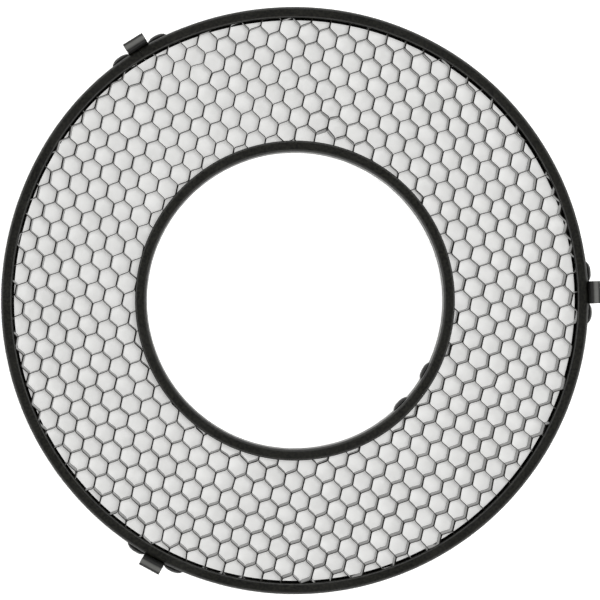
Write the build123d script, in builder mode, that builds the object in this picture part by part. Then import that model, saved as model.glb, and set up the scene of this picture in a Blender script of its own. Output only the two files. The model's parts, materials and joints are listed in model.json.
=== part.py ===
from build123d import *
import math
import os

# Honeycomb grid for a ring flash, in millimetres.
# Z is the axis of both hoops and points out of the front face. The origin is on that axis,
# halfway between the front and rear faces.

# Hoops: rolled sheet channels, the outer one open inwards and the inner one open outwards
outer_radius = 145.0
hole_radius = 73.5
flange_width = 5.5
sheet_thickness = 0.9
bend_radius = 1.6  # outside of the bend between web and flange
lip_radius = 1.2  # outside of the rolled lip
seam_gap = 0.3
outer_seam_angle = 121.9
inner_seam_angle = -36.4

# Honeycomb: corrugated foil ribbons, bonded flat to flat
cell_size = 9.6  # across flats, between bond lines
foil_thickness = 0.3
foil_height = 12.7
foil_clearance = 0.1  # between the foil and each rolled lip
corrugation_angle = 60.0
ribbon_direction = 78.0  # from +X
ribbon_drift = 0.24  # along, from each ribbon to the next
cell_offset_along = -3.2  # centre of one cell, from the axis, along the ribbons
cell_offset_across = 1.5
ribbons_per_node = 2

# Blind rivets, size 4.8
rivet_radius = 2.4
rivet_hole_clearance = 0.05
rivet_pitch = 20.4
rivet_head_radius = 4.75
rivet_head_height = 1.7
rivet_head_rim = 0.35
rivet_tail_radius = 3.2
rivet_tail_height = 2.2
rivet_tail_round = 0.8
tail_clearance = 0.4  # between a rivet's tail and the foil
stem_radius = 1.25
stem_clearance = 0.05
stem_head_radius = 2.0
stem_head_height = 1.0
stem_recess = 0.45  # of the broken stem below the top of the rivet's head

# Splice strap inside the inner hoop
splice_thickness = 0.8
splice_height = 9.0
splice_end_margin = 4.8  # from a rivet's centre to the strap's end
splice_corner_radius = 1.5

# Rim clips: each a riveted strap with a tongue that arches out over the reflector's rim
clip_angles = (1.6, 121.9, 241.4)
clip_thickness = 0.6
clip_width = 11.0
clip_strap_height = 9.6
clip_strap_end_margin = 5.2
clip_strap_corner_radius = 3.0
clip_tongue_rise = 0.5  # of the arch's foot above the front face
clip_root_radius = 3.4  # outside of the arch, from the tongue to the crown
clip_leg_radius = 2.3  # outside of the arch, from the crown to the leg
clip_split_gap = 0.05
clip_leg_straight = 4.6  # from the arch down to the bend inwards
clip_pinch_drop = 4.2  # from that bend down to the pinch
clip_pinch_inset = 2.3
clip_flare_drop = 2.6  # from the pinch down to the tip
clip_flare_outset = 1.6
clip_leg_bend_radius = 1.5

# Sizes that follow
channel_height = foil_height + 2 * (foil_clearance + lip_radius)
front_height = channel_height / 2
outer_web_inside = outer_radius - sheet_thickness
inner_web_outside = hole_radius + sheet_thickness
splice_outside = inner_web_outside + splice_thickness
foil_outer_radius = outer_web_inside - rivet_tail_height - tail_clearance
foil_inner_radius = splice_outside + rivet_tail_height + tail_clearance
clip_outside = outer_radius + clip_thickness
rivet_hole_radius = rivet_radius + rivet_hole_clearance
clip_crown_radius = outer_radius + clip_root_radius
clip_crown_height = front_height + clip_tongue_rise + clip_root_radius


def direction(angle):
    """Unit vector in the XY plane at an angle from +X, in degrees."""
    return (math.cos(math.radians(angle)), math.sin(math.radians(angle)), 0)


def section_plane(angle):
    """Upright plane through the Z axis: its x runs out from the axis, its y up."""
    return Plane(origin=(0, 0, 0), x_dir=direction(angle), z_dir=direction(angle - 90))


def level_plane(angle, height):
    """Level plane at a height: its x runs out from the axis at an angle."""
    return Plane(origin=(0, 0, height), x_dir=direction(angle), z_dir=(0, 0, 1))


def radial_plane(angle, radius, outward):
    """Plane across a radius, facing away from the axis, or towards it if outward is -1."""
    x, y, _ = direction(angle)
    return Plane(
        origin=(radius * x, radius * y, 0),
        x_dir=(0, 0, 1),
        z_dir=(outward * x, outward * y, 0),
    )


def chord_depth(radius, half_width):
    """Distance from the axis to a flat that meets a round wall half_width off its middle."""
    return math.sqrt(radius**2 - half_width**2)


def rivet_angles(middle, radius):
    """Directions of a pair of rivets, one each side of a seam or clip."""
    half_turn = math.degrees(math.asin(rivet_pitch / 2 / radius))
    return (middle - half_turn, middle + half_turn)


def channel_section(angle, web_radius, opens):
    """Section of a hoop: a channel with rolled lips, open outwards (+1) or inwards (-1)."""
    with BuildSketch(section_plane(angle)) as section:
        with Locations((web_radius + opens * flange_width / 2, 0)):
            Rectangle(flange_width, channel_height)
        sides = section.vertices().group_by(Axis.X)
        web_corners = sides[0] if opens > 0 else sides[-1]
        lip_corners = sides[-1] if opens > 0 else sides[0]
        fillet(web_corners, bend_radius)
        fillet(lip_corners, lip_radius)
        offset(amount=-sheet_thickness, mode=Mode.SUBTRACT)
        with Locations((web_radius + opens * flange_width, 0)):
            Rectangle(2 * lip_radius, channel_height - 2 * lip_radius, mode=Mode.SUBTRACT)
    return section.sketch


def seam_turn(radius):
    """Angle that the seam's gap takes up on a hoop."""
    return math.degrees(seam_gap / radius)


# Outer hoop
outer_rivet_angles = [a for clip in clip_angles for a in rivet_angles(clip, outer_radius)]

with BuildPart() as outer_ring:
    revolve(
        channel_section(outer_seam_angle + seam_turn(outer_radius) / 2, outer_radius, -1),
        axis=Axis.Z,
        revolution_arc=360 - seam_turn(outer_radius),
    )
    with Locations(*[radial_plane(a, outer_radius, 1) for a in outer_rivet_angles]):
        Hole(rivet_hole_radius, depth=2 * sheet_thickness)
outer_ring.part.label = "outer_ring"


# Inner hoop
splice_rivet_angles = rivet_angles(inner_seam_angle, hole_radius)

with BuildPart() as inner_ring:
    revolve(
        channel_section(inner_seam_angle + seam_turn(hole_radius) / 2, hole_radius, 1),
        axis=Axis.Z,
        revolution_arc=360 - seam_turn(hole_radius),
    )
    with Locations(*[radial_plane(a, hole_radius, -1) for a in splice_rivet_angles]):
        Hole(rivet_hole_radius, depth=2 * sheet_thickness)
inner_ring.part.label = "inner_ring"


# Splice strap: bent to the inner hoop's web, behind the seam
with BuildPart() as inner_splice:
    with BuildSketch(level_plane(inner_seam_angle, -splice_height / 2)):
        Circle(splice_outside)
        Circle(inner_web_outside, mode=Mode.SUBTRACT)
        with Locations((hole_radius, 0)):
            Rectangle(hole_radius, rivet_pitch + 2 * splice_end_margin, mode=Mode.INTERSECT)
    extrude(amount=splice_height)
    ends = inner_splice.edges().filter_by(Axis((0, 0, 0), direction(inner_seam_angle)))
    fillet(ends, splice_corner_radius)
    with Locations(*[radial_plane(a, hole_radius, -1) for a in splice_rivet_angles]):
        Hole(rivet_hole_radius, depth=4 * sheet_thickness)
inner_splice.part.label = "inner_splice"


# Blind rivets and their stems
def blind_rivet(grip):
    """Set rivet: its domed head seats on the origin's level, its shank runs down."""
    tail = -grip - rivet_tail_height
    with BuildPart() as rivet:
        with BuildSketch(Plane.XZ):
            with BuildLine():
                Polyline(
                    (stem_radius + stem_clearance, rivet_head_height),
                    (stem_radius + stem_clearance, tail + stem_head_height + stem_clearance),
                    (stem_head_radius + stem_clearance, tail + stem_head_height + stem_clearance),
                    (stem_head_radius + stem_clearance, tail),
                    (rivet_tail_radius - rivet_tail_round, tail),
                )
                RadiusArc(
                    (rivet_tail_radius - rivet_tail_round, tail),
                    (rivet_tail_radius, tail + rivet_tail_round),
                    -rivet_tail_round,
                )
                Polyline(
                    (rivet_tail_radius, tail + rivet_tail_round),
                    (rivet_tail_radius, -grip),
                    (rivet_radius, -grip),
                    (rivet_radius, 0),
                    (rivet_head_radius, 0),
                    (rivet_head_radius, rivet_head_rim),
                )
                TangentArc(
                    (stem_radius + stem_clearance, rivet_head_height),
                    (rivet_head_radius, rivet_head_rim),
                    tangent=(1, 0),
                )
            make_face()
        revolve(axis=Axis.Z)
    return rivet.part


def rivet_stem(grip):
    """What stays of a rivet's stem: a pin with its head in the rivet's tail."""
    tail = -grip - rivet_tail_height
    with BuildPart() as stem:
        with BuildSketch(Plane.XZ):
            with BuildLine():
                Polyline(
                    (0, tail),
                    (stem_head_radius, tail),
                    (stem_head_radius, tail + stem_head_height),
                    (stem_radius, tail + stem_head_height),
                    (stem_radius, rivet_head_height - stem_recess),
                    (0, rivet_head_height - stem_recess),
                    close=True,
                )
            make_face()
        revolve(axis=Axis.Z)
    return stem.part


# On the outer hoop the head sits on the clip's strap and the tail inside the channel
clip_tail_seat = chord_depth(outer_web_inside, rivet_tail_radius)
clip_grip = clip_outside - clip_tail_seat
clip_rivet_planes = [radial_plane(a, clip_outside, 1) for a in outer_rivet_angles]

with BuildPart() as clip_rivets:
    with Locations(*clip_rivet_planes):
        add(blind_rivet(clip_grip))
clip_rivets.part.label = "clip_rivets"

with BuildPart() as clip_rivet_stems:
    with Locations(*clip_rivet_planes):
        add(rivet_stem(clip_grip))
clip_rivet_stems.part.label = "clip_rivet_stems"

# On the inner hoop the head stands in the lens hole and the tail bears on the splice
splice_head_seat = chord_depth(hole_radius, rivet_head_radius)
splice_grip = splice_outside - splice_head_seat
splice_rivet_planes = [radial_plane(a, splice_head_seat, -1) for a in splice_rivet_angles]

with BuildPart() as splice_rivets:
    with Locations(*splice_rivet_planes):
        add(blind_rivet(splice_grip))
splice_rivets.part.label = "splice_rivets"

with BuildPart() as splice_rivet_stems:
    with Locations(*splice_rivet_planes):
        add(rivet_stem(splice_grip))
splice_rivet_stems.part.label = "splice_rivet_stems"


# Rim clips
def clip_strap(angle, number):
    """Strap bent to the outer hoop, with the tongue and the near half of the arch."""
    arch_foot = front_height + clip_tongue_rise
    rivets = [radial_plane(a, clip_outside, 1) for a in rivet_angles(angle, outer_radius)]
    with BuildPart() as strap:
        with BuildSketch(level_plane(angle, -clip_strap_height / 2)):
            Circle(clip_outside)
            Circle(outer_radius, mode=Mode.SUBTRACT)
            with Locations((outer_radius, 0)):
                Rectangle(
                    outer_radius,
                    rivet_pitch + 2 * clip_strap_end_margin,
                    mode=Mode.INTERSECT,
                )
        extrude(amount=clip_strap_height)
        ends = strap.edges().filter_by(Axis((0, 0, 0), direction(angle)))
        fillet(ends, clip_strap_corner_radius)
        with Locations(*rivets):
            Hole(rivet_hole_radius, depth=2 * clip_thickness)
        with BuildSketch(section_plane(angle)):
            with BuildLine():
                tongue = Line((outer_radius, 0), (outer_radius, arch_foot))
                JernArc(tongue @ 1, (0, 1), clip_root_radius, -90)
                offset(amount=clip_thickness, side=Side.RIGHT)
            make_face()
            with Locations((clip_crown_radius, clip_crown_height)):
                Rectangle(2 * clip_split_gap, 4 * clip_thickness, mode=Mode.SUBTRACT)
        extrude(amount=clip_width / 2, both=True)
    strap.part.label = f"clip_{number}_strap"
    return strap.part


def clip_leg(angle, number):
    """Far half of the arch and the sprung leg: straight down, in to the pinch, out again."""
    leg_top = clip_crown_height - clip_leg_radius
    bend = (clip_crown_radius + clip_leg_radius, leg_top - clip_leg_straight)
    pinch = (bend[0] - clip_pinch_inset, bend[1] - clip_pinch_drop)
    tip = (pinch[0] + clip_flare_outset, pinch[1] - clip_flare_drop)
    with BuildPart() as leg:
        with BuildSketch(section_plane(angle)):
            with BuildLine():
                arch = JernArc(
                    (clip_crown_radius, clip_crown_height), (1, 0), clip_leg_radius, -90
                )
                FilletPolyline(arch @ 1, bend, pinch, tip, radius=clip_leg_bend_radius)
                offset(amount=clip_thickness, side=Side.RIGHT)
            make_face()
        extrude(amount=clip_width / 2, both=True)
    leg.part.label = f"clip_{number}_leg"
    return leg.part


# Foil ribbons
ribbon_pitch = cell_size / 2
period = cell_size * math.sqrt(3)
swing = ribbon_pitch - foil_thickness
flat_length = period / 2 - swing / math.tan(math.radians(corrugation_angle))


def ribbon_edge(index, side):
    """One face of a corrugated ribbon as points, right across the foil's disc."""
    middle = cell_offset_across + (index + 0.5) * ribbon_pitch
    shift = cell_offset_along + index * ribbon_drift + ((index + 1) % 2) * period / 2
    ease = side * foil_thickness / 2 * math.tan(math.radians(corrugation_angle / 2))
    half_count = math.ceil(foil_outer_radius / period) + 1
    points = []
    for step in range(-2 * half_count, 2 * half_count + 1):
        crest = 1 if step % 2 else -1
        half_flat = flat_length / 2 + crest * ease
        level = middle + crest * swing / 2 + side * foil_thickness / 2
        place = shift + step * period / 2
        points += [(place - half_flat, level), (place + half_flat, level)]
    return points


def foil_ribbon(index):
    """One ribbon of the honeycomb, cut to the ring between the hoops."""
    along = direction(ribbon_direction)
    plane = Plane(origin=(0, 0, -foil_height / 2), x_dir=along, z_dir=(0, 0, 1))
    with BuildPart() as ribbon:
        with BuildSketch(plane):
            with BuildLine():
                Polyline(*ribbon_edge(index, 1), *reversed(ribbon_edge(index, -1)), close=True)
            make_face()
            Circle(foil_outer_radius, mode=Mode.INTERSECT)
            Circle(foil_inner_radius, mode=Mode.SUBTRACT)
        extrude(amount=foil_height)
    return ribbon.part


def ribbon_fits(index):
    """Whether a ribbon lies inside the foil's disc, apart from its ends."""
    edges = (
        cell_offset_across + index * ribbon_pitch,
        cell_offset_across + (index + 1) * ribbon_pitch,
    )
    return max(abs(edge) for edge in edges) < foil_outer_radius


most = math.ceil(foil_outer_radius / ribbon_pitch) + 1
ribbon_indices = [index for index in range(-most, most) if ribbon_fits(index)]

os.makedirs("parts", exist_ok=True)
for built in (
    outer_ring,
    inner_ring,
    inner_splice,
    clip_rivets,
    clip_rivet_stems,
    splice_rivets,
    splice_rivet_stems,
):
    export_step(built.part, f"parts/{built.part.label}.step")
for number, angle in enumerate(clip_angles, start=1):
    for piece in (clip_strap(angle, number), clip_leg(angle, number)):
        export_step(piece, f"parts/{piece.label}.step")
for number, first in enumerate(range(0, len(ribbon_indices), ribbons_per_node), start=1):
    group = ribbon_indices[first : first + ribbons_per_node]
    foil = Compound([solid for index in group for solid in foil_ribbon(index).solids()])
    foil.label = f"foil_{number:02d}"
    export_step(foil, f"parts/{foil.label}.step")
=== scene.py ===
import json
import math

import bmesh
import bpy
from mathutils import Matrix, Vector, noise


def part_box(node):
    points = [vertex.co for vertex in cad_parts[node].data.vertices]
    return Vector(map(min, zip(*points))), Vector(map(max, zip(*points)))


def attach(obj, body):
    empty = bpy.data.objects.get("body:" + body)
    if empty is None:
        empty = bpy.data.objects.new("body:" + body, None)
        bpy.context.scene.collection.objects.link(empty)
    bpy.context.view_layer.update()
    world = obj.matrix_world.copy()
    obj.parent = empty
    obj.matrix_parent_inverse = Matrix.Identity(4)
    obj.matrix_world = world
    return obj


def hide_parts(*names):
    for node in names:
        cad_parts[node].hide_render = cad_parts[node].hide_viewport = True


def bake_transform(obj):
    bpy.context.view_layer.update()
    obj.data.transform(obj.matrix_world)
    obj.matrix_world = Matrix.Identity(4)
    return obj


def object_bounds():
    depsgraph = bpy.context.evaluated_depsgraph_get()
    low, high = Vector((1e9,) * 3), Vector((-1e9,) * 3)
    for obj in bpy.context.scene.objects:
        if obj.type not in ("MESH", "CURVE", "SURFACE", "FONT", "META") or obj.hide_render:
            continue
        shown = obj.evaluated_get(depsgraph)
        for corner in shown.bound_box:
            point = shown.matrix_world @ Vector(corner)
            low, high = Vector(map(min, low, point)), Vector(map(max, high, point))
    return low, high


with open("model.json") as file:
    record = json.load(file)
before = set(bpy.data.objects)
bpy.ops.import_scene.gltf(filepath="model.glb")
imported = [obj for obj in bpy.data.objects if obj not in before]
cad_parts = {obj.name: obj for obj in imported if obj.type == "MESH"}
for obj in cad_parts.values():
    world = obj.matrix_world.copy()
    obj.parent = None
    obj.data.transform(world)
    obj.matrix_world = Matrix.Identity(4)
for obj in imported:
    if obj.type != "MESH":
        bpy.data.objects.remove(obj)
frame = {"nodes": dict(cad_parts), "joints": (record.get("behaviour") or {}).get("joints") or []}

# Honeycomb grid for a ring flash, in metres, in the part's own frame: Z is the axis of both
# hoops and points out of the front face.
MM = 0.001
CAD_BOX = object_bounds()

# Places and sizes that the frame gives
OUTER_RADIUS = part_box("outer_ring")[1].y
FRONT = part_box("outer_ring")[1].z
FLANGE_WIDTH = 5.5 * MM
HOLE_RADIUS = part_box("inner_ring")[1].x - FLANGE_WIDTH
FOIL_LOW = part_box("foil_15")[0].z
FOIL_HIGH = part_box("foil_15")[1].z
FOIL_NODES = sorted(name for name in frame["nodes"] if name.startswith("foil_"))
HINGES = {joint["child"]: Vector(joint["pos_m"]) for joint in frame["joints"]}

# Hoops: rolled sheet channels
SHEET_THICKNESS = 0.9 * MM
BEND_RADIUS = 1.6 * MM
LIP_RADIUS = 1.2 * MM
SEAM_GAP = 0.1 * MM
OUTER_SEAM = math.radians(121.9)
INNER_SEAM = math.radians(-36.4)
SWELL_HEIGHT = 1.25 * MM  # of the outer hoop out of round, beside its seam
SWELL_MIDDLE = math.radians(131.0)
SWELL_SPREAD = math.radians(22.0)
ROLLING_SLACK = 0.16 * MM  # unevenness that the rolling leaves
ROLLING_WAVE = 45.0 * MM

# Honeycomb: corrugated ribbons, bonded flat to flat
CELL_SIZE = 9.6 * MM
FOIL_THICKNESS = 0.35 * MM
CORRUGATION = math.radians(60.0)
RIBBON_DIRECTION = math.radians(78.0)
RIBBON_DRIFT = 0.24 * MM  # along, from each ribbon to the next
OFFSET_ALONG = -3.2 * MM
OFFSET_ACROSS = 1.5 * MM
RIBBONS_PER_NODE = 2
FOIL_INNER = HOLE_RADIUS + 4.3 * MM
FOIL_OUTER = OUTER_RADIUS - 3.5 * MM
RIBBON_PITCH = CELL_SIZE / 2
PERIOD = CELL_SIZE * math.sqrt(3)
SWING = RIBBON_PITCH - FOIL_THICKNESS
FLAT_LENGTH = PERIOD / 2 - SWING / math.tan(CORRUGATION)
FOLD_REACH = 0.75 * MM  # how far each fold's rounding runs along the foil

# How the expanded honeycomb strays from its lattice: terms in the squares of a point's place
ROW_LIFT = 0.0 * MM
ROW_BOW = -2.72 * MM
ROW_TWIST = 1.0 * MM
ROW_SQUASH = -0.39 * MM
COLUMN_BOW = 0.15 * MM
COLUMN_TWIST = -0.22 * MM
COLUMN_SQUASH = -0.09 * MM
WARPS = ((60.0 * MM, 0.9 * MM, 3.0), (15.0 * MM, 0.5 * MM, 11.0))  # wave, reach, seed
SLANT = Vector((-0.1 * MM, 0.4 * MM, 0.0))  # of every wall, from its top edge to its bottom
LEANS = ((24.0 * MM, 0.30 * MM, 23.0), (7.0 * MM, 0.12 * MM, 31.0))
SAGS = (  # x, y, shift of the bottom edges in x and in y, reach
    (15.0, 85.0, 0.2, -1.7, 8.0),
    (29.0, 80.0, 0.1, -1.0, 7.0),
    (-48.0, 123.0, -0.3, 1.2, 8.0),
    (-60.0, 113.0, -0.5, 0.9, 7.0),
    (100.0, -34.0, 0.7, 0.4, 5.0),
    (132.0, -8.0, 0.9, -0.2, 7.0),
    (-66.0, -116.0, -0.3, -0.9, 7.0),
)
DENTS = (  # x, y, push in x, push in y, reach
    (16.0, 86.0, 0.4, 1.3, 7.0),
    (27.0, 92.0, -1.0, -0.6, 6.0),
    (-40.0, 117.0, 1.2, -0.7, 6.0),
    (-48.0, 113.0, -0.9, 0.8, 6.0),
    (-69.0, 119.0, 0.8, 1.0, 8.0),
    (-84.0, 104.0, -0.7, 0.6, 7.0),
    (98.0, -36.0, 0.7, -0.5, 5.0),
    (70.0, -29.0, -0.6, 0.7, 5.0),
    (-30.0, -78.0, 0.5, 0.8, 6.0),
    (-52.0, -122.0, -0.6, 0.6, 7.0),
)

# Rivets
RIVET_PITCH = 20.4 * MM
RIVET_RADIUS = 2.4 * MM
RIVET_HEAD_RADIUS = 4.75 * MM
RIVET_HEAD_HEIGHT = 1.7 * MM
RIVET_RIM = 0.35 * MM
RIVET_TAIL_RADIUS = 3.2 * MM
RIVET_TAIL_HEIGHT = 2.2 * MM
PIN_RADIUS = 1.25 * MM
PIN_CLEARANCE = 0.05 * MM
PIN_RECESS = 0.45 * MM
SPLICE_THICKNESS = 0.8 * MM

# Rim clips
CLIP_THICKNESS = 0.6 * MM
CLIP_HALF_WIDTH = 5.5 * MM
STRAP_HALF_HEIGHT = 4.8 * MM
STRAP_END_MARGIN = 5.2 * MM
STRAP_CORNER = 3.0 * MM
TONGUE_FILLET = 1.3 * MM
TONGUE_RISE = 0.5 * MM
ROOT_RADIUS = 3.4 * MM
LEG_RADIUS = 2.3 * MM
LEG_STRAIGHT = 4.6 * MM
PINCH_DROP = 4.2 * MM
PINCH_INSET = 2.3 * MM
FLARE_DROP = 2.6 * MM
FLARE_OUTSET = 1.6 * MM
LEG_BEND = 1.5 * MM


# Shared helpers
def polar(radius, angle, height=0.0):
    """Point at a radius from the axis, at an angle from +X."""
    return Vector((radius * math.cos(angle), radius * math.sin(angle), height))


def eased(share):
    """Smooth step from 0 to 1."""
    share = min(1.0, max(0.0, share))
    return share * share * (3 - 2 * share)


def arc(middle_x, middle_y, radius, start, end, count):
    """Points along an arc in a plane, its angles in degrees."""
    angles = [math.radians(start + (end - start) * i / count) for i in range(count + 1)]
    return [
        (middle_x + radius * math.cos(angle), middle_y + radius * math.sin(angle))
        for angle in angles
    ]


def add_mesh(name, vertices, faces, material, sharp=35.0):
    """Mesh object with outward normals, smooth except along its sharp edges."""
    mesh = bpy.data.meshes.new(name)
    mesh.from_pydata(vertices, [], faces)
    work = bmesh.new()
    work.from_mesh(mesh)
    bmesh.ops.recalc_face_normals(work, faces=work.faces)
    work.to_mesh(mesh)
    work.free()
    mesh.shade_smooth()
    mesh.set_sharp_from_angle(angle=math.radians(sharp))
    mesh.materials.append(material)
    piece = bpy.data.objects.new(name, mesh)
    bpy.context.scene.collection.objects.link(piece)
    return piece


def swell(angle):
    """How far the outer hoop and what is riveted to it stand out of round at an angle."""
    turn = (angle - SWELL_MIDDLE + math.pi) % (2 * math.pi) - math.pi
    return SWELL_HEIGHT * math.exp(-((turn / SWELL_SPREAD) ** 2))


# Materials
def plain_material(name, roughness, specular):
    """New material with its shader, and the shader's sockets that are the same all over."""
    material = bpy.data.materials.new(name)
    material.use_nodes = True
    shader = material.node_tree.nodes["Principled BSDF"]
    shader.inputs["Roughness"].default_value = roughness
    shader.inputs["Specular IOR Level"].default_value = specular
    return material, material.node_tree, shader


def grain(tree, scale, detail=3.0, stretch=(1, 1, 1)):
    """Noise over the object's own coordinates, its scale in waves per metre."""
    place = tree.nodes.new("ShaderNodeTexCoord")
    mapping = tree.nodes.new("ShaderNodeMapping")
    texture = tree.nodes.new("ShaderNodeTexNoise")
    mapping.inputs["Scale"].default_value = stretch
    texture.inputs["Scale"].default_value = scale
    texture.inputs["Detail"].default_value = detail
    tree.links.new(place.outputs["Object"], mapping.inputs["Vector"])
    tree.links.new(mapping.outputs["Vector"], texture.inputs["Vector"])
    return texture.outputs["Fac"]


def tinted(tree, factor, low, high, spread=(0.3, 0.7)):
    """Colour between two tints as a factor runs over a spread."""
    ramp = tree.nodes.new("ShaderNodeValToRGB")
    ramp.color_ramp.elements[0].position = spread[0]
    ramp.color_ramp.elements[0].color = (*low, 1)
    ramp.color_ramp.elements[1].position = spread[1]
    ramp.color_ramp.elements[1].color = (*high, 1)
    tree.links.new(factor, ramp.inputs["Fac"])
    return ramp.outputs["Color"]


def mapped(tree, factor, low, high, spread=(0.3, 0.7)):
    """Number between two values as a factor runs over a spread."""
    change = tree.nodes.new("ShaderNodeMapRange")
    change.inputs["From Min"].default_value = spread[0]
    change.inputs["From Max"].default_value = spread[1]
    change.inputs["To Min"].default_value = low
    change.inputs["To Max"].default_value = high
    tree.links.new(factor, change.inputs["Value"])
    return change.outputs["Result"]


def blended(tree, factor, first, second):
    """Colour that goes from the first to the second as a factor goes from 0 to 1."""
    mix = tree.nodes.new("ShaderNodeMix")
    mix.data_type = "RGBA"
    tree.links.new(factor, mix.inputs["Factor"])
    tree.links.new(first, mix.inputs["A"])
    tree.links.new(second, mix.inputs["B"])
    return mix.outputs["Result"]


def roughened(tree, shader, *layers):
    """Bump from several noises, each with its height in metres."""
    normal = None
    for factor, height in layers:
        bump = tree.nodes.new("ShaderNodeBump")
        bump.inputs["Distance"].default_value = height
        tree.links.new(factor, bump.inputs["Height"])
        if normal is not None:
            tree.links.new(normal, bump.inputs["Normal"])
        normal = bump.outputs["Normal"]
    tree.links.new(normal, shader.inputs["Normal"])


def powder_coat():
    """Fine textured black powder coat, for the hoops."""
    material, tree, shader = plain_material("powder_coat", 0.45, 0.32)
    fine = grain(tree, 900, 2.0)
    patches = grain(tree, 55, 4.0)
    speckle = tinted(tree, fine, (0.0001, 0.0001, 0.0000), (0.0070, 0.0070, 0.0050), (0.36, 0.64))
    worn = tinted(tree, fine, (0.0004, 0.0004, 0.0002), (0.0080, 0.0079, 0.0058))
    colour = blended(tree, mapped(tree, patches, 0.0, 1.0, (0.45, 0.7)), speckle, worn)
    tree.links.new(colour, shader.inputs["Base Color"])
    tree.links.new(mapped(tree, patches, 0.38, 0.48), shader.inputs["Roughness"])
    roughened(tree, shader, (grain(tree, 1500, 2.0), 0.015 * MM), (fine, 0.02 * MM))
    return material


def painted_foil():
    """Thin glossy black paint on aluminium foil, streaked down its sides and a little darker on
    its cut top edges.
    """
    material, tree, shader = plain_material("painted_foil", 0.23, 1.0)
    streaks = grain(tree, 420, 3.0, (1, 1, 0.08))
    patches = grain(tree, 60, 3.0)
    sides = tinted(tree, streaks, (0.0024, 0.0020, 0.0016), (0.0110, 0.0094, 0.0074))
    edges = tinted(tree, patches, (0.0020, 0.0017, 0.0013), (0.0080, 0.0068, 0.0050))
    place = tree.nodes.new("ShaderNodeTexCoord")
    split = tree.nodes.new("ShaderNodeSeparateXYZ")
    tree.links.new(place.outputs["Object"], split.inputs["Vector"])
    top = (FOIL_HIGH - 0.12 * MM, FOIL_HIGH - 0.02 * MM)
    edge_share = mapped(tree, split.outputs["Z"], 0.0, 1.0, top)
    tree.links.new(blended(tree, edge_share, sides, edges), shader.inputs["Base Color"])
    tree.links.new(mapped(tree, patches, 0.18, 0.28), shader.inputs["Roughness"])
    roughened(tree, shader, (streaks, 0.003 * MM), (grain(tree, 150, 2.0), 0.02 * MM))
    return material


def sprung_steel():
    """Satin black coat on spring steel, for the clips, with a painted highlight along the crown
    of each arch.
    """
    material, tree, shader = plain_material("sprung_steel", 0.44, 0.14)
    fine = grain(tree, 700, 3.0)
    patches = grain(tree, 90, 3.0)
    coat = tinted(tree, patches, (0.0020, 0.0020, 0.0018), (0.0070, 0.0070, 0.0065))
    # Painted highlight: a lighter colour on the crown of each arch stands in for the sheen of the
    # overhead light.
    crown_highlight = tinted(tree, patches, (0.0620, 0.0620, 0.0590), (0.0880, 0.0880, 0.0840))
    place = tree.nodes.new("ShaderNodeTexCoord")
    split = tree.nodes.new("ShaderNodeSeparateXYZ")
    tree.links.new(place.outputs["Object"], split.inputs["Vector"])
    # Share of the painted highlight, rising to full just below the top of the crown.
    crown = FRONT + TONGUE_RISE + ROOT_RADIUS
    highlight_share = mapped(tree, split.outputs["Z"], 0.0, 1.0, (crown - 0.4 * MM, crown - 0.05 * MM))
    tree.links.new(blended(tree, highlight_share, coat, crown_highlight), shader.inputs["Base Color"])
    tree.links.new(mapped(tree, patches, 0.38, 0.50), shader.inputs["Roughness"])
    roughened(tree, shader, (fine, 0.02 * MM))
    return material


def rivet_coat():
    """Black coat over set aluminium rivets, a little patchy in tone."""
    material, tree, shader = plain_material("rivet_coat", 0.5, 0.14)
    patches = grain(tree, 260, 3.0)
    colour = tinted(tree, patches, (0.0015, 0.0015, 0.0014), (0.0070, 0.0070, 0.0064))
    tree.links.new(colour, shader.inputs["Base Color"])
    tree.links.new(mapped(tree, patches, 0.36, 0.52), shader.inputs["Roughness"])
    roughened(tree, shader, (grain(tree, 900, 2.0), 0.03 * MM))
    return material


def pin_coat():
    """Coat over the broken steel stems, thinner than on the rivets."""
    material, tree, shader = plain_material("pin_coat", 0.5, 0.5)
    patches = grain(tree, 700, 4.0)
    colour = tinted(tree, patches, (0.0100, 0.0098, 0.0095), (0.0550, 0.0530, 0.0500))
    tree.links.new(colour, shader.inputs["Base Color"])
    tree.links.new(mapped(tree, patches, 0.38, 0.62), shader.inputs["Roughness"])
    roughened(tree, shader, (patches, 0.10 * MM))
    return material


def studio_floor():
    """White table top, lit a little from below."""
    material, tree, shader = plain_material("studio_floor", 0.9, 0.1)
    mottle = grain(tree, 170, 6.0)
    colour = tinted(tree, mottle, (0.68, 0.68, 0.67), (0.90, 0.90, 0.89))
    tree.links.new(colour, shader.inputs["Base Color"])
    shader.inputs["Emission Color"].default_value = (1.0, 1.0, 0.985, 1)
    shader.inputs["Emission Strength"].default_value = 0.38
    return material


POWDER_COAT = powder_coat()
PAINTED_FOIL = painted_foil()
SPRUNG_STEEL = sprung_steel()
RIVET_COAT = rivet_coat()
PIN_COAT = pin_coat()


# Hoops
def channel_outline():
    """Closed outline of a hoop's section: distance from the web's face, and height."""
    lip = FLANGE_WIDTH - LIP_RADIUS
    lip_inside = LIP_RADIUS - SHEET_THICKNESS
    bend_inside = BEND_RADIUS - SHEET_THICKNESS
    upper_lip = FRONT - LIP_RADIUS
    upper_bend = FRONT - BEND_RADIUS
    flange = [(lip + (BEND_RADIUS - lip) * i / 4, FRONT) for i in range(1, 4)]
    inside = [(x, FRONT - SHEET_THICKNESS) for x, _ in reversed(flange)]
    upper = arc(lip, upper_lip, LIP_RADIUS, 0, 90, 8) + flange
    upper += arc(BEND_RADIUS, upper_bend, BEND_RADIUS, 90, 180, 9)
    web = [(0.0, upper_bend * share) for share in (0.5, 0.0, -0.5)]
    lower = [(x, -z) for x, z in reversed(upper)]
    upper_inside = arc(BEND_RADIUS, upper_bend, bend_inside, 180, 90, 6) + inside
    upper_inside += arc(lip, upper_lip, lip_inside, 90, 0, 4)
    lower_inside = [(x, -z) for x, z in reversed(upper_inside)]
    return upper + web + lower + lower_inside + upper_inside


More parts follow.
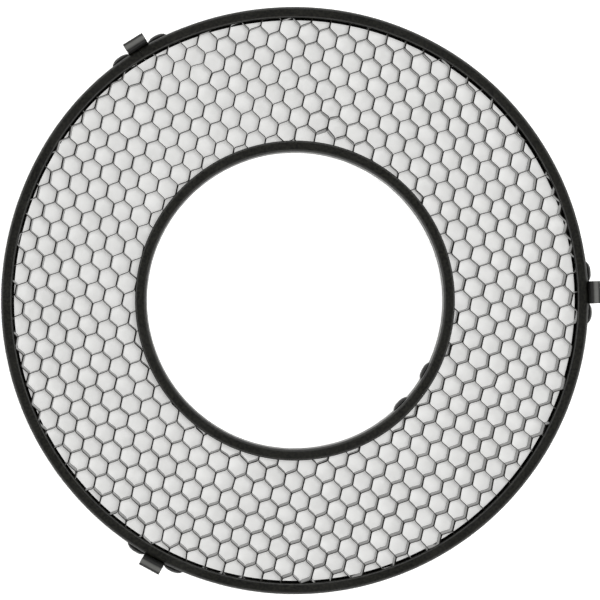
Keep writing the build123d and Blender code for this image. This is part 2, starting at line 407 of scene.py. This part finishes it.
def hoop(name, node, radius, opens, seam, stations, rolled):
    """Rolled channel, open outwards (+1) or inwards (-1), with a butt seam."""
    outline = channel_outline()
    count = len(outline)
    gap = SEAM_GAP / radius
    vertices = []
    for station in range(stations + 1):
        angle = seam + gap / 2 + (2 * math.pi - gap) * station / stations
        place = polar(radius / ROLLING_WAVE, angle)
        slack = ROLLING_SLACK * (noise.noise(place) - 1) / 2
        twist = ROLLING_SLACK * (noise.noise(place + Vector((0, 0, 7))) - 1) / 2
        for inset, height in outline:
            share = inset / FLANGE_WIDTH
            across = radius + opens * inset + slack + rolled(angle)
            vertices.append(polar(across, angle, height * (1 + share * twist / FRONT)))
    faces = [list(range(count)), list(range(stations * count, (stations + 1) * count))]
    for station in range(stations):
        for i in range(count):
            j = (i + 1) % count
            low = station * count
            high = low + count
            faces.append((low + i, low + j, high + j, high + i))
    piece = add_mesh(name, vertices, faces, POWDER_COAT)
    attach(piece, "grid")
    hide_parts(node)
    return piece


# Foil
def pushed(x, y, places):
    """Sum of local shifts at a point, each fading with its distance; the table is in mm."""
    shift = Vector((0, 0, 0))
    for middle_x, middle_y, push_x, push_y, reach in places:
        distance = math.hypot(x / MM - middle_x, y / MM - middle_y)
        shift += Vector((push_x, push_y, 0)) * MM * math.exp(-((distance / reach) ** 2))
    return shift


def stray(x, y):
    """How far the honeycomb's wall at a place lies from the even lattice."""
    u = x / OUTER_RADIUS
    v = y / OUTER_RADIUS
    shift = Vector((
        COLUMN_BOW * u * u + COLUMN_TWIST * u * v + COLUMN_SQUASH * v * v,
        ROW_LIFT + ROW_BOW * u * u + ROW_TWIST * u * v + ROW_SQUASH * v * v,
        0,
    ))
    for wave, reach, seed in WARPS:
        shift += reach * noise.noise_vector(Vector((x / wave, y / wave, seed)))
    shift += pushed(x, y, DENTS)
    shift.z = 0
    return shift


def lean(x, y, depth):
    """How far a wall has moved sideways at a depth of 0 (top edge) to 1 (bottom edge)."""
    shift = SLANT * depth
    for wave, reach, seed in LEANS:
        place = Vector((x / wave, y / wave, seed + depth * 0.6))
        shift += reach * depth * noise.noise_vector(place)
    shift += depth * pushed(x, y, SAGS)
    shift.z = 0
    return shift


def folded_line(index):
    """Centre line of one corrugated ribbon, its folds rounded, as (along, across)."""
    middle = OFFSET_ACROSS + (index + 0.5) * RIBBON_PITCH
    shift = OFFSET_ALONG + index * RIBBON_DRIFT + ((index + 1) % 2) * PERIOD / 2
    half_count = math.ceil(FOIL_OUTER / PERIOD) + 1
    corners = []
    for step in range(-2 * half_count, 2 * half_count + 1):
        crest = 1 if step % 2 else -1
        place = shift + step * PERIOD / 2
        level = middle + crest * SWING / 2
        corners.append(Vector((place - FLAT_LENGTH / 2, level)))
        corners.append(Vector((place + FLAT_LENGTH / 2, level)))
    line = [corners[0]]
    for before, corner, after in zip(corners, corners[1:], corners[2:]):
        first = corner + (before - corner).normalized() * FOLD_REACH
        last = corner + (after - corner).normalized() * FOLD_REACH
        line.append((line[-1] + first) / 2)
        line += [first, (first + 2 * corner + last) / 4, last]
    return line


def disc_reach(place):
    """How far inside the foil's ring a place is, negative outside it."""
    radius = math.hypot(place.x, place.y)
    outer = FOIL_OUTER + swell(math.atan2(place.y, place.x))
    return min(radius - FOIL_INNER, outer - radius)


def ring_runs(line):
    """The stretches of a line that lie in the foil's ring, cut at its two circles."""
    runs = []
    run = []
    for here, there in zip(line, line[1:]):
        start = disc_reach(here)
        end = disc_reach(there)
        if start > 0:
            run.append(here)
        if (start > 0) != (end > 0):
            run.append(here.lerp(there, start / (start - end)))
            if end <= 0:
                runs.append(run)
                run = []
    return [run for run in runs if len(run) > 2]


def ribbon_strip(run, vertices, faces):
    """Foil of its own thickness along a run of points, from the top edge to the bottom."""
    half = FOIL_THICKNESS / 2
    soft = half * 0.6
    height = FOIL_HIGH - FOIL_LOW
    levels = [0.0, 0.02, 0.35, 0.7, 0.98, 1.0]
    sides = [half - soft, half, half, half, half, half - soft]
    loop = list(zip(levels, sides)) + [(d, -s) for d, s in zip(levels[::-1], sides[::-1])]
    first = len(vertices)
    count = len(loop)
    for i, place in enumerate(run):
        ahead = run[min(i + 1, len(run) - 1)] - run[max(i - 1, 0)]
        normal = Vector((-ahead.y, ahead.x, 0)).normalized()
        for depth, side in loop:
            moved = place + lean(place.x, place.y, depth) + normal * side
            vertices.append((moved.x, moved.y, FOIL_HIGH - depth * height))
    for i in range(len(run) - 1):
        for j in range(count):
            k = (j + 1) % count
            low = first + i * count
            faces.append((low + j, low + k, low + count + k, low + count + j))
    last = first + (len(run) - 1) * count
    faces.append(list(range(first, first + count)))
    faces.append(list(range(last, last + count)))


def ribbon_indices():
    """Indices of the ribbons that lie inside the foil's disc."""
    most = math.ceil(FOIL_OUTER / RIBBON_PITCH) + 1
    found = []
    for index in range(-most, most):
        edges = (OFFSET_ACROSS + index * RIBBON_PITCH, OFFSET_ACROSS + (index + 1) * RIBBON_PITCH)
        if max(abs(edge) for edge in edges) < FOIL_OUTER:
            found.append(index)
    return found


def foil_group(number, node, indices):
    """The ribbons of one foil node, as one piece."""
    along = polar(1, RIBBON_DIRECTION)
    across = polar(1, RIBBON_DIRECTION + math.pi / 2)
    vertices = []
    faces = []
    for index in indices:
        line = []
        for point in folded_line(index):
            place = along * point.x + across * point.y
            line.append(place + stray(place.x, place.y))
        for run in ring_runs(line):
            ribbon_strip(run, vertices, faces)
    piece = add_mesh(f"ribbons_{number:02d}", vertices, faces, PAINTED_FOIL, 50)
    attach(piece, "grid")
    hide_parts(node)


# Clips
def clip_line():
    """Middle line of a clip's sheet above its strap, as (radius, height), and its lengths."""
    foot = FRONT + TONGUE_RISE
    crown = OUTER_RADIUS + ROOT_RADIUS
    leg_top = foot + ROOT_RADIUS - LEG_RADIUS
    bend = Vector((crown + LEG_RADIUS, leg_top - LEG_STRAIGHT))
    pinch = bend + Vector((-PINCH_INSET, -PINCH_DROP))
    tip = pinch + Vector((FLARE_OUTSET, -FLARE_DROP))
    face = [(OUTER_RADIUS, height) for height in (STRAP_HALF_HEIGHT, FRONT - 1.5 * MM)]
    face += arc(crown, foot, ROOT_RADIUS, 180, 90, 10)
    face += arc(crown, leg_top, LEG_RADIUS, 90, 0, 8)[1:]
    face = [Vector(point) for point in face]
    for before, corner, after in ((face[-1], bend, pinch), (bend, pinch, tip)):
        start = (before - corner).normalized() * LEG_BEND * 0.6
        end = (after - corner).normalized() * LEG_BEND * 0.6
        for share in (0.0, 0.25, 0.5, 0.75, 1.0):
            face.append(corner + start * (1 - share) ** 2 + end * share**2)
    face += [face[-1].lerp(tip, 0.5), tip]
    line = []
    for i, point in enumerate(face):
        ahead = (face[min(i + 1, len(face) - 1)] - face[max(i - 1, 0)]).normalized()
        line.append(point + Vector((ahead.y, -ahead.x)) * CLIP_THICKNESS / 2)
    return line


def strap_rows():
    """Heights of the strap's rows of points, closer together at its rounded corners."""
    straight = STRAP_HALF_HEIGHT - STRAP_CORNER
    turns = [math.radians(angle) for angle in range(0, 91, 15)]
    corner = [straight + STRAP_CORNER * math.sin(turn) for turn in turns]
    return [-height for height in reversed(corner)] + [0.0] + corner


def strap_half_length(height):
    """Half the strap's length at a height, shorter at its rounded corners."""
    length = RIVET_PITCH / 2 + STRAP_END_MARGIN
    past = max(0.0, abs(height) - (STRAP_HALF_HEIGHT - STRAP_CORNER))
    return length - STRAP_CORNER + math.sqrt(max(0.0, STRAP_CORNER**2 - past**2))


def clip_sheet(angle):
    """Middle surface of a clip as vertices and faces: its curved strap, tongue, arch and leg."""
    middle_radius = OUTER_RADIUS + CLIP_THICKNESS / 2
    out = polar(1, angle)
    side = polar(1, angle + math.pi / 2)
    vertices = []
    faces = []

    def put(radius, along, height, flat):
        """Adds a point: bent round the hoop, or on the clip's flat width as flat goes to 1."""
        turn = along / middle_radius
        bent = Vector((radius * math.cos(turn), radius * math.sin(turn)))
        place = bent.lerp(Vector((radius, along)), flat)
        place.x += swell(angle + turn * (1 - flat))
        point = out * place.x + side * place.y
        vertices.append((point.x, point.y, height))
        return len(vertices) - 1

    columns = [i / 6 for i in range(-6, 7)]
    root = CLIP_HALF_WIDTH + TONGUE_FILLET
    rows = []
    wings = {1: [], -1: []}
    for height in strap_rows():
        row = [put(middle_radius, root * share, height, 0.0) for share in columns]
        rows.append(row)
        end = strap_half_length(height)
        for hand, start in ((1, row[-1]), (-1, row[0])):
            steps = [root + (end - root) * i / 8 for i in range(1, 9)]
            wing = [put(middle_radius, hand * step, height, 0.0) for step in steps]
            wings[hand].append([start] + wing)
    for turn in range(15, 91, 15):
        rise = TONGUE_FILLET * (1 - math.cos(math.radians(turn)))
        reach = root - TONGUE_FILLET * math.sin(math.radians(turn))
        height = STRAP_HALF_HEIGHT + rise
        flat = eased(rise / (FRONT - STRAP_HALF_HEIGHT))
        rows.append([put(middle_radius, reach * share, height, flat) for share in columns])
    line = clip_line()
    length = sum((b - a).length for a, b in zip(line, line[1:]))
    done = 0.0
    for before, point in zip(line, line[1:]):
        done += (point - before).length
        if point.y < STRAP_HALF_HEIGHT + TONGUE_FILLET and done < length / 4:
            continue
        left = max(0.0, CLIP_HALF_WIDTH * 0.2 - (length - done))
        half = CLIP_HALF_WIDTH - left**2 / (CLIP_HALF_WIDTH * 0.2)
        flat = 1.0 if done > length / 4 else eased(
            (point.y - STRAP_HALF_HEIGHT) / (FRONT - STRAP_HALF_HEIGHT)
        )
        rows.append([put(point.x, half * share, point.y, flat) for share in columns])
    for sheet in (rows, wings[1], wings[-1]):
        for low, high in zip(sheet, sheet[1:]):
            for i in range(len(low) - 1):
                faces.append((low[i], low[i + 1], high[i + 1], high[i]))
    return vertices, faces


def rim_clip(number):
    """One rim clip in one piece, from its strap to its leg."""
    spring = f"clip_{number}_spring"
    hinge = HINGES[spring]
    angle = math.atan2(hinge.y, hinge.x)
    vertices, faces = clip_sheet(angle)
    piece = add_mesh(f"rim_clip_{number}", vertices, faces, SPRUNG_STEEL, 40)
    sheet = piece.modifiers.new("sheet", "SOLIDIFY")
    sheet.thickness = CLIP_THICKNESS
    sheet.offset = 0
    sheet.use_even_offset = True
    edge = piece.modifiers.new("edge", "BEVEL")
    edge.width = 0.12 * MM
    edge.segments = 2
    edge.limit_method = "ANGLE"
    edge.angle_limit = math.radians(50)
    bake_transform(piece)
    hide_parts(f"clip_{number}_strap", f"clip_{number}_leg")


# Rivets
def lathe(outline, places, segments=40):
    """Turned shape, closed at both ends on its axis, repeated at several places."""
    vertices = []
    faces = []
    for place in places:
        first = len(vertices)
        for radius, height in outline:
            for i in range(segments):
                angle = 2 * math.pi * i / segments
                vertices.append(place @ polar(radius, angle, height))
        for ring in range(len(outline) - 1):
            for i in range(segments):
                j = (i + 1) % segments
                low = first + ring * segments
                high = low + segments
                faces.append((low + i, low + j, high + j, high + i))
        faces.append(list(range(first, first + segments)))
        faces.append(list(range(len(vertices) - segments, len(vertices))))
    return vertices, faces


def rivet_outline(grip):
    """Section of a set blind rivet from its recess over the dome to the tail."""
    bore = PIN_RADIUS + PIN_CLEARANCE
    spread = RIVET_HEAD_RADIUS - bore
    drop = RIVET_HEAD_HEIGHT - RIVET_RIM
    dome = (spread**2 + drop**2) / (2 * drop)
    sweep = math.degrees(math.asin(spread / dome))
    floor = RIVET_HEAD_HEIGHT - PIN_RECESS - 0.2 * MM
    edge = 0.12 * MM
    outline = [(bore, floor), (bore, RIVET_HEAD_HEIGHT - edge)]
    dome_arc = arc(bore, RIVET_HEAD_HEIGHT - dome, dome, 90, 90 - sweep, 12)
    outline += dome_arc[1:]
    outline += [(RIVET_HEAD_RADIUS, RIVET_RIM / 2), (RIVET_HEAD_RADIUS - edge, 0.0)]
    outline += [(RIVET_RADIUS, 0.0), (RIVET_RADIUS, -grip), (RIVET_TAIL_RADIUS - edge, -grip)]
    bottom = -grip - RIVET_TAIL_HEIGHT
    corner = 0.8 * MM
    outline += arc(RIVET_TAIL_RADIUS - corner, bottom + corner, corner, 0, -90, 6)
    outline += [(bore, bottom)]
    return outline


def pin_outline(grip):
    """Section of a broken stem, uneven where it snapped."""
    top = RIVET_HEAD_HEIGHT - PIN_RECESS
    edge = 0.15 * MM
    bottom = -grip - RIVET_TAIL_HEIGHT
    return [
        (0.05 * MM, top - 0.10 * MM),
        (PIN_RADIUS * 0.45, top + 0.02 * MM),
        (PIN_RADIUS - edge, top - 0.04 * MM),
        (PIN_RADIUS, top - edge),
        (PIN_RADIUS, bottom + 0.2 * MM),
        (PIN_RADIUS - edge, bottom + 0.05 * MM),
        (0.05 * MM, bottom),
    ]


def rivet_seats(middle, radius, seat, outward, rolled):
    """Frames of a pair of rivets, one each side of a seam or clip."""
    half_turn = math.asin(RIVET_PITCH / 2 / radius)
    seats = []
    for angle in (middle - half_turn, middle + half_turn):
        axis = polar(outward, angle)
        turn = axis.to_track_quat("Z", "X").to_matrix().to_4x4()
        seats.append(Matrix.Translation(polar(seat + rolled(angle), angle)) @ turn)
    return seats


def rivet_set(name, seats, grip, rivet_node, pin_node):
    """A group of blind rivets and, as a piece of its own, their stems."""
    vertices, faces = lathe(rivet_outline(grip), seats)
    bodies = add_mesh(f"{name}_rivet_set", vertices, faces, RIVET_COAT, 40)
    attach(bodies, "grid")
    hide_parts(rivet_node)
    vertices, faces = lathe(pin_outline(grip), seats)
    pins = add_mesh(f"{name}_pin_set", vertices, faces, PIN_COAT, 40)
    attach(pins, "grid")
    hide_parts(pin_node)


def clip_rivets():
    """The pair of rivets at each clip, their tails inside the outer hoop."""
    tail_seat = math.sqrt((OUTER_RADIUS - SHEET_THICKNESS) ** 2 - RIVET_TAIL_RADIUS**2)
    seat = OUTER_RADIUS + CLIP_THICKNESS
    seats = []
    for hinge in HINGES.values():
        middle = math.atan2(hinge.y, hinge.x)
        seats += rivet_seats(middle, OUTER_RADIUS, seat, 1, swell)
    rivet_set("clip", seats, seat - tail_seat, "clip_rivets", "clip_rivet_stems")


def splice_rivets():
    """The pair of rivets at the inner seam, their heads in the lens hole."""
    seat = math.sqrt(HOLE_RADIUS**2 - RIVET_HEAD_RADIUS**2)
    grip = HOLE_RADIUS + SHEET_THICKNESS + SPLICE_THICKNESS - seat
    seats = rivet_seats(INNER_SEAM, HOLE_RADIUS, seat, -1, lambda angle: 0.0)
    rivet_set("splice", seats, grip, "splice_rivets", "splice_rivet_stems")


def splice_strap():
    """The splice behind the inner seam keeps its shape and gets the hoops' coat."""
    node = frame["nodes"]["inner_splice"]
    node.data.materials.clear()
    node.data.materials.append(POWDER_COAT)


# Studio
def soft_light(name, tilt, azimuth, distance, size, power, shines=True):
    """Round soft light aimed at the part from a tilt off vertical, in degrees."""
    lamp = bpy.data.lights.new(name, "AREA")
    lamp.shape = "DISK"
    lamp.size = size
    lamp.energy = power
    light = bpy.data.objects.new(name, lamp)
    bpy.context.scene.collection.objects.link(light)
    away = math.sin(math.radians(tilt))
    up = math.cos(math.radians(tilt))
    place = polar(away, math.radians(azimuth), up)
    light.location = place * distance
    light.rotation_mode = "QUATERNION"
    light.rotation_quaternion = place.to_track_quat("Z", "Y")
    light.visible_glossy = shines


def studio():
    """White table, pale surroundings and soft lights."""
    half = 8.0
    bottom = CAD_BOX[0].z
    corners = [(-half, -half, bottom), (half, -half, bottom), (half, half, bottom)]
    corners.append((-half, half, bottom))
    mesh = bpy.data.meshes.new("table_top")
    mesh.from_pydata(corners, [], [(0, 1, 2, 3)])
    mesh.materials.append(studio_floor())
    table = bpy.data.objects.new("table_top", mesh)
    bpy.context.scene.collection.objects.link(table)
    world = bpy.data.worlds.new("surroundings")
    world.use_nodes = True
    background = world.node_tree.nodes["Background"]
    place = world.node_tree.nodes.new("ShaderNodeTexCoord")
    split = world.node_tree.nodes.new("ShaderNodeSeparateXYZ")
    world.node_tree.links.new(place.outputs["Generated"], split.inputs["Vector"])
    rise = mapped(world.node_tree, split.outputs["Z"], 0.8, 3.5, (0.0, 0.3))
    fall = mapped(world.node_tree, split.outputs["Z"], 1.0, 0.05, (0.45, 0.8))
    glow = world.node_tree.nodes.new("ShaderNodeMath")
    glow.operation = "MULTIPLY"
    world.node_tree.links.new(rise, glow.inputs[0])
    world.node_tree.links.new(fall, glow.inputs[1])
    world.node_tree.links.new(glow.outputs["Value"], background.inputs["Strength"])
    background.inputs["Color"].default_value = (1.0, 1.0, 1.0, 1)
    bpy.context.scene.world = world
    soft_light("overhead", 4, 35, 2.2, 0.5, 17.5, shines=False)
    soft_light("key", 18, -15, 2.0, 0.8, 5.5, shines=False)
    bpy.context.scene.view_settings.view_transform = "Standard"


def camera():
    """Camera above the front face, a little to one side of the hoops' axis."""
    lens = bpy.data.cameras.new("camera")
    lens.sensor_width = 36.0
    lens.lens = 177.3
    lens.clip_start = 0.05
    lens.clip_end = 50.0
    eye = Vector((-22.0 * MM, 0, FRONT + 1456.0 * MM))
    aim = Vector((2.35 * MM, 0.3 * MM, FRONT))
    view = bpy.data.objects.new("camera", lens)
    bpy.context.scene.collection.objects.link(view)
    view.location = eye
    back = (eye - aim).normalized()
    right = Vector((0, 1, 0)).cross(back).normalized()
    turn = Matrix((right, back.cross(right), back)).transposed()
    view.rotation_mode = "QUATERNION"
    view.rotation_quaternion = turn.to_quaternion()
    bpy.context.scene.camera = view


# The grid
hoop("outer_hoop", "outer_ring", OUTER_RADIUS, -1, OUTER_SEAM, 540, swell)
hoop("inner_hoop", "inner_ring", HOLE_RADIUS, 1, INNER_SEAM, 360, lambda angle: 0.0)
found = ribbon_indices()
for number, node in enumerate(FOIL_NODES, start=1):
    first = (number - 1) * RIBBONS_PER_NODE
    foil_group(number, node, found[first : first + RIBBONS_PER_NODE])
for number in range(1, len(HINGES) + 1):
    rim_clip(number)
clip_rivets()
splice_rivets()
splice_strap()
studio()
camera()
